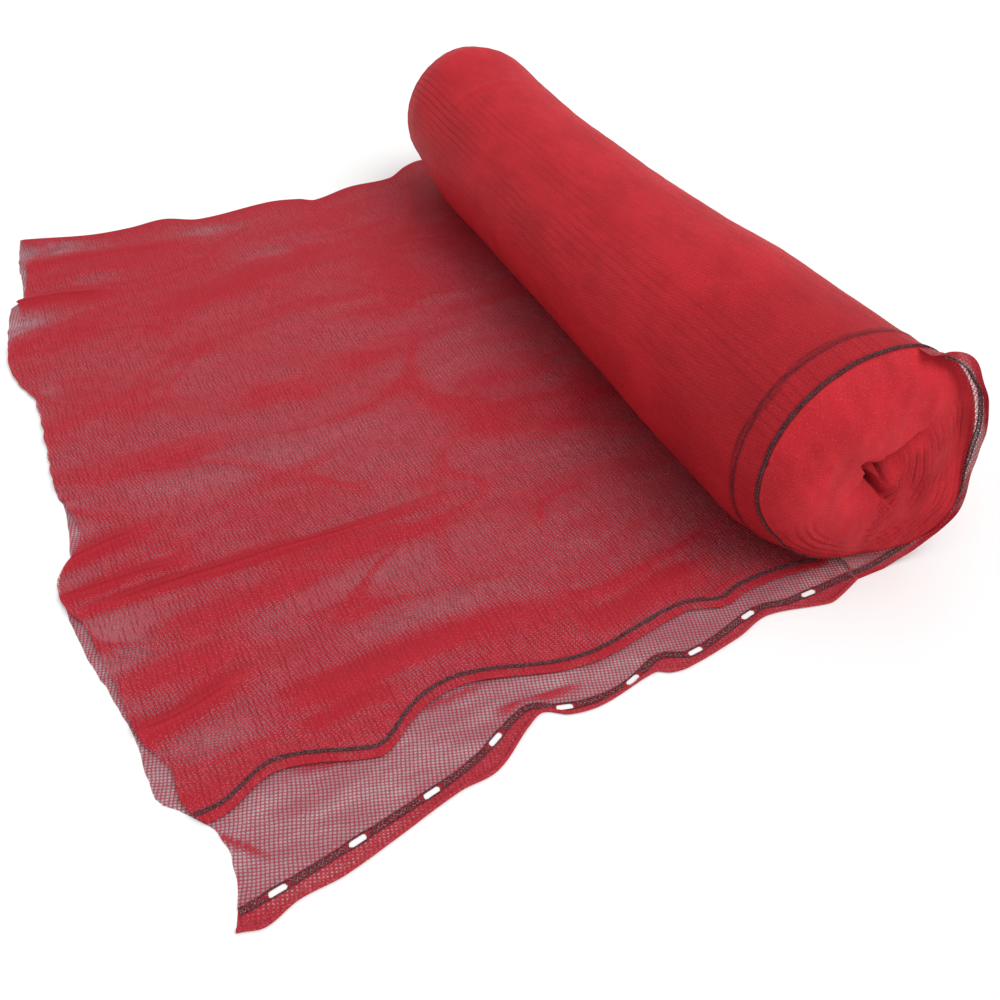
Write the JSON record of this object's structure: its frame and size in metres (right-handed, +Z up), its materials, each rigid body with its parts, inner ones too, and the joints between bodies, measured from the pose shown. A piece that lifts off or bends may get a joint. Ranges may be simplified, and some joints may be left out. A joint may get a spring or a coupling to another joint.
{
  "type": "roll of scaffold debris netting",
  "caption": "Roll of knitted scaffold debris netting, folded in half along its length, with a loose end run out flat and eyelets along its reinforced selvedge",
  "frame": {"origin": "on the surface the roll lies on, under the roll's axis, halfway between the selvedge end and the folded end", "axes": "+Z up from the surface, +Y along the roll's axis from its selvedge end to its folded end, -X the way the loose end runs out"},
  "size_m": [1.2111, 1.6638, 0.3536],
  "materials": {
    "rolled_net": "many wound turns of red knitted polyethylene net",
    "doubled_net": "two layers of red knitted polyethylene net over each other",
    "single_net": "one sheer layer of red knitted polyethylene net",
    "band_yarn": "dark braided reinforcing yarn knitted into the selvedge"
  },
  "bodies": {
    "root": {"wound_roll": "rolled_net", "loose_end": "doubled_net", "eyelet_strip": "single_net", "collar_strip": "single_net", "upper_band": "band_yarn", "lower_band": "band_yarn", "collar_band": "band_yarn", "rim_band": "band_yarn"}
  },
  "joints": []
}
